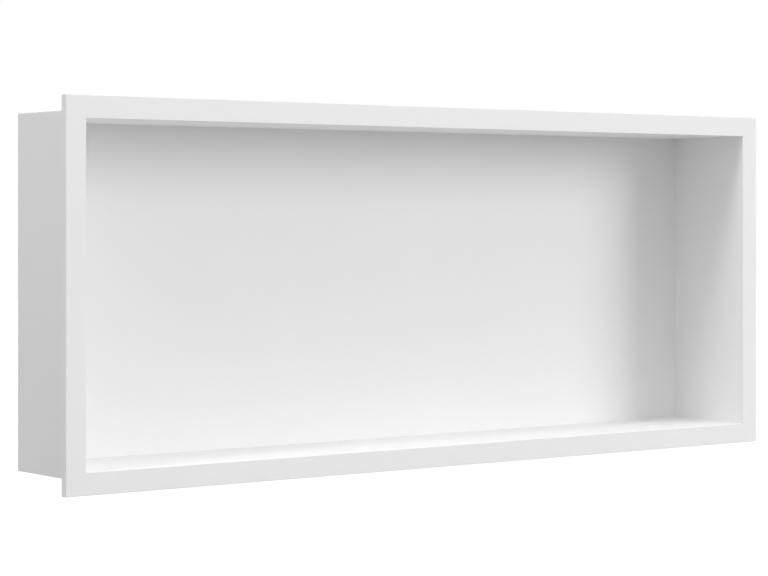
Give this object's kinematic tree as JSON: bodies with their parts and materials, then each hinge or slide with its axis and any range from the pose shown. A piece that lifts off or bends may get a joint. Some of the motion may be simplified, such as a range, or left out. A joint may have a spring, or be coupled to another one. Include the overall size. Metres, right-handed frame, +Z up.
{
  "type": "shower niche insert",
  "caption": "Wide shallow white box, open at the front, with a flat flange around its mouth; set into a shower wall as a recessed shelf for bottles and soap.",
  "frame": {"origin": "middle of the opening, on the plane of the finished wall where the flange's back face lies", "axes": "+X to the right as seen from the room, +Y into the wall, +Z up; the front faces -Y"},
  "size_m": [0.8254, 0.1073, 0.3394],
  "materials": {
    "white_resin": "matt white cast mineral-filled resin"
  },
  "bodies": {
    "root": {"niche_body": "white_resin"}
  },
  "joints": []
}
